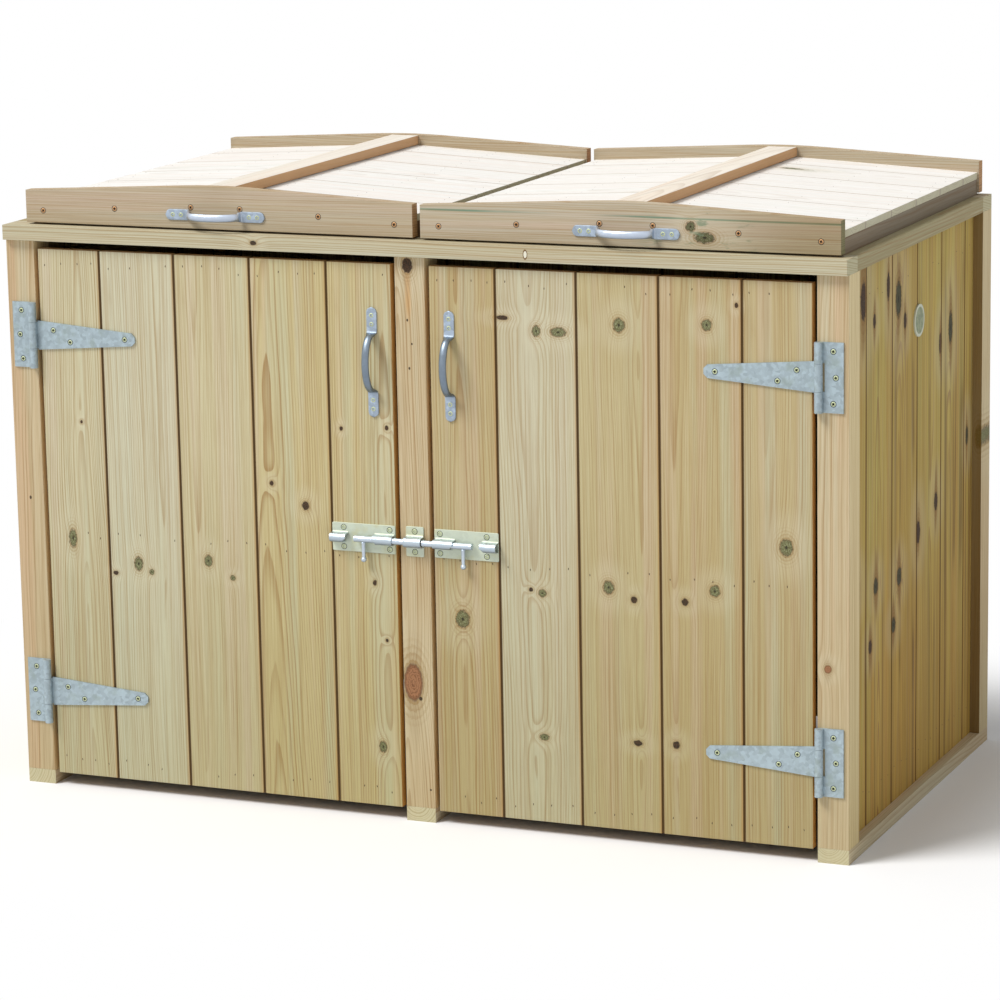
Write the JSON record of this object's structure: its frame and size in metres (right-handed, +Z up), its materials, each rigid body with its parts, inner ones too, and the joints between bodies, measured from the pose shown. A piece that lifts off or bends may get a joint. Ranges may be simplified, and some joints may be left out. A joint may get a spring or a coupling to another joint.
{
  "type": "wheelie bin store",
  "caption": "Low timber shed for wheeled bins: framed boarded walls, ledged doors on tee hinges with slide bolts, and crested boarded lids hinged at the back.",
  "frame": {"origin": "on the ground at the middle of the object's box", "axes": "+X to the right seen from the front, +Y from the doors to the back, +Z up"},
  "size_m": [1.65, 0.9388, 1.162],
  "materials": {
    "frame_wood": "sawn and planed, pressure treated",
    "door_wood": "sawn and planed, pressure treated",
    "wall_wood": "sawn and planed, pressure treated",
    "lid_wood": "sawn and planed, pressure treated",
    "galvanised_steel": "spangled zinc",
    "zinc_steel": "bright zinc",
    "badge": "dull, slightly raised"
  },
  "bodies": {
    "carcass": {"left_bearer": "frame_wood", "front_left_post": "frame_wood", "rear_left_post": "frame_wood", "cap_left_rail": "frame_wood", "left_side_boards": "wall_wood", "left_side_rails": "wall_wood", "left_hinge_butts": "galvanised_steel", "right_bearer": "frame_wood", "front_right_post": "frame_wood", "rear_right_post": "frame_wood", "cap_right_rail": "frame_wood", "right_side_boards": "wall_wood", "right_side_rails": "wall_wood", "right_hinge_butts": "galvanised_steel", "centre_bearer": "frame_wood", "front_centre_post": "frame_wood", "rear_centre_post": "frame_wood", "cap_front_rail": "frame_wood", "cap_centre_rail": "frame_wood", "cap_rear_rail": "frame_wood", "back_boards": "wall_wood", "back_rails": "wall_wood", "bolt_keep": "galvanised_steel", "lid_hinge_lower_leaves": "galvanised_steel", "frame_screws": "zinc_steel", "badge_disc": "badge"},
    "left_door": {"left_door_boards": "door_wood", "left_door_ledges": "door_wood", "left_upper_hinge_strap": "galvanised_steel", "left_lower_hinge_strap": "galvanised_steel", "left_door_handle": "galvanised_steel", "left_bolt_plate": "galvanised_steel", "left_door_screws": "zinc_steel"},
    "left_bolt": {"left_bolt_rod": "zinc_steel"},
    "left_bolt_handle": {"left_bolt_grip": "zinc_steel"},
    "left_lid": {"left_lid_front_fascia": "lid_wood", "left_lid_rear_fascia": "lid_wood", "left_lid_frame": "lid_wood", "left_lid_boards": "lid_wood", "left_ridge_batten": "lid_wood", "left_lid_handle": "galvanised_steel", "left_lid_hinge_leaves": "galvanised_steel", "left_lid_screws": "zinc_steel"},
    "right_door": {"right_door_boards": "door_wood", "right_door_ledges": "door_wood", "right_upper_hinge_strap": "galvanised_steel", "right_lower_hinge_strap": "galvanised_steel", "right_door_handle": "galvanised_steel", "right_bolt_plate": "galvanised_steel", "right_door_screws": "zinc_steel"},
    "right_bolt": {"right_bolt_rod": "zinc_steel"},
    "right_bolt_handle": {"right_bolt_grip": "zinc_steel"},
    "right_lid": {"right_lid_front_fascia": "lid_wood", "right_lid_rear_fascia": "lid_wood", "right_lid_frame": "lid_wood", "right_lid_boards": "lid_wood", "right_ridge_batten": "lid_wood", "right_lid_handle": "galvanised_steel", "right_lid_hinge_leaves": "galvanised_steel", "right_lid_screws": "zinc_steel"}
  },
  "joints": [
    {"name": "left_door_hinge", "type": "hinge", "parent": "carcass", "child": "left_door", "pos_m": [-0.7715, -0.43485, 0.529], "axis": [0, 0, -1], "range_deg": [0, 170]},
    {"name": "left_bolt_slide", "type": "slide", "parent": "left_door", "child": "left_bolt", "axis": [-1, 0, 0], "range_m": [-0.013, 0.026]},
    {"name": "left_bolt_handle_turn", "type": "hinge", "parent": "left_bolt", "child": "left_bolt_handle", "pos_m": [-0.099, -0.43755, 0.529], "axis": [-1, 0, 0], "range_deg": [0, 80]},
    {"name": "left_lid_hinge", "type": "hinge", "parent": "carcass", "child": "left_lid", "pos_m": [-0.39135, 0.46545, 1.082], "axis": [-1, 0, 0], "range_deg": [0, 100]},
    {"name": "right_door_hinge", "type": "hinge", "parent": "carcass", "child": "right_door", "pos_m": [0.7715, -0.43485, 0.529], "axis": [0, 0, 1], "range_deg": [0, 170]},
    {"name": "right_bolt_slide", "type": "slide", "parent": "right_door", "child": "right_bolt", "axis": [1, 0, 0], "range_m": [-0.013, 0.026]},
    {"name": "right_bolt_handle_turn", "type": "hinge", "parent": "right_bolt", "child": "right_bolt_handle", "pos_m": [0.099, -0.43755, 0.529], "axis": [-1, 0, 0], "range_deg": [0, 80]},
    {"name": "right_lid_hinge", "type": "hinge", "parent": "carcass", "child": "right_lid", "pos_m": [0.41215, 0.46545, 1.082], "axis": [-1, 0, 0], "range_deg": [0, 100]}
  ]
}
